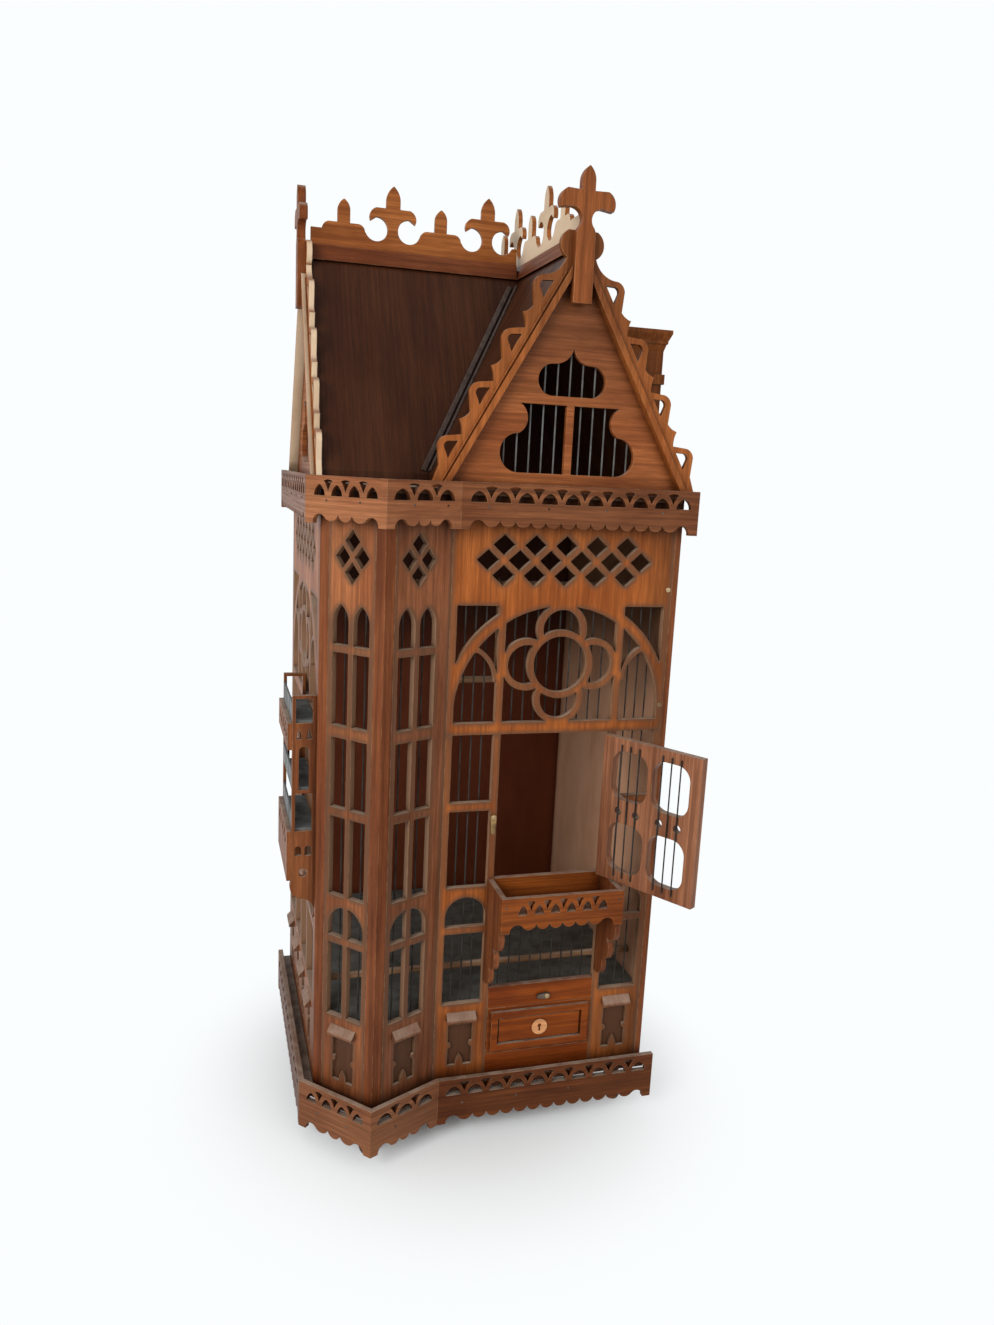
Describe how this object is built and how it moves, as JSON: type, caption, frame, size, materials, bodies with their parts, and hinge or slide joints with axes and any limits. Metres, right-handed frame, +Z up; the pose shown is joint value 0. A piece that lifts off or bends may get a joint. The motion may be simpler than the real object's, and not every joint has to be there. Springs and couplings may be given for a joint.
{
  "type": "bird cage",
  "caption": "House-shaped wooden bird cage with pierced Gothic fretwork walls, steep crossed roofs, corner bay, side oriel, hinged door, feed box and base drawer.",
  "frame": {"origin": "centre of the footprint of the whole, on the floor under the turned feet", "axes": "+Z up, -Y towards the front with the door, +X towards the solid right wall"},
  "size_m": [0.4298, 0.4592, 1.061],
  "materials": {
    "oak_fret": "worn satin varnish",
    "oak_apron": "worn satin varnish",
    "oak_red": "satin varnish",
    "oak_roof": "dark worn varnish",
    "oak_dark": "satin varnish",
    "oak_plain": "dull",
    "perch_wood": "bare, worn",
    "wire": "tinned, dull",
    "hinge_metal": "tarnished",
    "escutcheon_brass": "worn",
    "zinc": "dull grey"
  },
  "bodies": {
    "cage": {"back_wall": "oak_plain", "bargeboard_front": "oak_fret", "bargeboard_left": "oak_fret", "base_board": "oak_plain", "bay_left_panel": "oak_fret", "bay_right_panel": "oak_fret", "bay_wires": "wire", "bun_feet": "oak_dark", "chimney": "oak_dark", "corner_posts": "oak_red", "cornice_bay": "oak_apron", "cornice_frame": "oak_plain", "cornice_front": "oak_apron", "cornice_left": "oak_apron", "cresting_main": "oak_fret", "cresting_wing": "oak_fret", "door_hinges": "hinge_metal", "drawer_runners": "oak_plain", "feed_box_back": "oak_fret", "feed_box_floor": "oak_fret", "feed_box_front": "oak_fret", "feed_box_sides": "oak_fret", "finial_front": "oak_fret", "finial_left": "oak_fret", "floor_board": "oak_plain", "front_left_panel": "oak_fret", "front_lower_rail": "oak_fret", "front_right_panel": "oak_fret", "front_sill_rail": "oak_fret", "front_upper_tracery": "oak_fret", "front_wires": "wire", "gable_front": "oak_fret", "gable_left": "oak_fret", "gable_wires": "wire", "left_lower_panel": "oak_fret", "left_upper_tracery": "oak_fret", "left_wires": "wire", "oriel_fronts": "oak_fret", "oriel_shelves": "zinc", "oriel_sides": "oak_fret", "pent_caps": "oak_red", "perches": "perch_wood", "ridge_caps": "oak_red", "right_wall": "oak_plain", "roof_main_left": "oak_roof", "roof_main_right": "oak_roof", "roof_wing_back": "oak_roof", "roof_wing_front": "oak_roof", "skirt_bay": "oak_apron", "skirt_front": "oak_apron", "skirt_left": "oak_apron"},
    "door": {"door_panel": "oak_fret", "door_wires": "wire", "door_hinge_leaves": "hinge_metal"},
    "drawer": {"drawer_front": "oak_fret", "drawer_tray": "oak_plain", "drawer_escutcheon": "escutcheon_brass"},
    "swing": {"swing": "perch_wood"},
    "door_catch": {"door_catch": "hinge_metal"},
    "drawer_button": {"drawer_button": "oak_fret"}
  },
  "joints": [
    {"name": "door_hinge", "type": "hinge", "parent": "cage", "child": "door", "pos_m": [0.13558, -0.11571, 0.391], "axis": [0, 0, 1], "range_deg": [-121, 40]},
    {"name": "drawer_slide", "type": "slide", "parent": "cage", "child": "drawer", "axis": [0, -1, 0], "range_m": [0, 0.12]},
    {"name": "swing_hang", "type": "hinge", "parent": "cage", "child": "swing", "pos_m": [-0.00092, -0.00121, 0.624], "axis": [1, 0, 0], "range_deg": [-30, 30]},
    {"name": "catch_turn", "type": "hinge", "parent": "cage", "child": "door_catch", "pos_m": [0.00458, -0.11441, 0.38], "axis": [0, -1, 0], "range_deg": [-10, 95]},
    {"name": "button_turn", "type": "hinge", "parent": "cage", "child": "drawer_button", "pos_m": [0.07908, -0.11511, 0.16], "axis": [0, -1, 0], "range_deg": [0, 90]}
  ]
}
